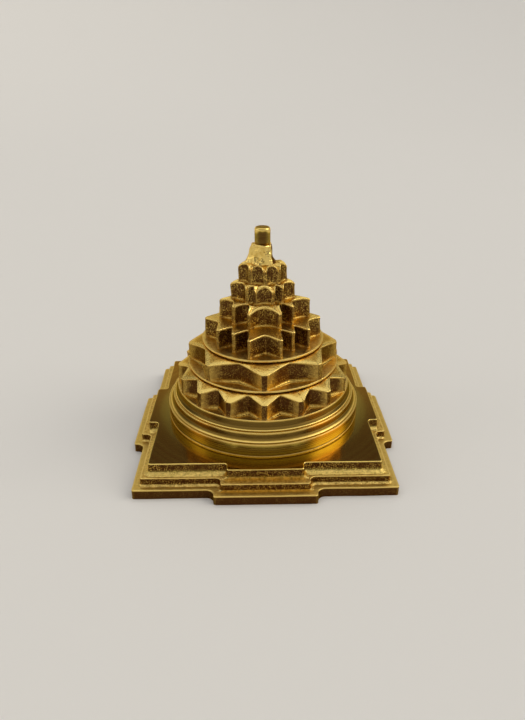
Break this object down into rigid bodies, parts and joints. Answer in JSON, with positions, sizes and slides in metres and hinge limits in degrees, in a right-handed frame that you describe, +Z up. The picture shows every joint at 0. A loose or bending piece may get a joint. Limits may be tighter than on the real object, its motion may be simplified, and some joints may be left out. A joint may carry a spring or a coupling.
{
  "type": "meru shri yantra",
  "caption": "Stepped brass pyramid: square terraces with gates, a turned plinth, petal rings, star tiers, a triangular block and a round pin, clamped on a hidden tie rod.",
  "frame": {"origin": "on the table, under the middle of the square base", "axes": "+Z up along the tie rod, -Y towards the front, with one gate on each of the four sides; the yantra's plan lies with its top towards +X"},
  "size_m": [0.065, 0.065, 0.0539],
  "materials": {
    "polished_brass": "polished, with faint turning arcs",
    "turned_brass": "turned, with fine tool lines",
    "cast_brass": "sand cast, dark and grainy in the hollows, worn bright on edges and tops"
  },
  "bodies": {
    "root": {"bhupura_lower": "cast_brass", "bhupura_middle": "cast_brass", "bhupura_upper": "polished_brass", "trivalaya_lower": "turned_brass", "trivalaya_middle": "turned_brass", "trivalaya_upper": "turned_brass", "sixteen_petal_lotus": "cast_brass", "lotus_disc": "turned_brass", "eight_petal_lotus": "cast_brass", "star_disc": "turned_brass", "fourteen_point_star": "cast_brass", "outer_ten_point_star": "cast_brass", "inner_ten_point_star": "cast_brass", "eight_point_star": "cast_brass", "trikona": "cast_brass", "bindu": "polished_brass", "tie_rod": "turned_brass", "washer": "turned_brass", "nut": "turned_brass"}
  },
  "joints": []
}
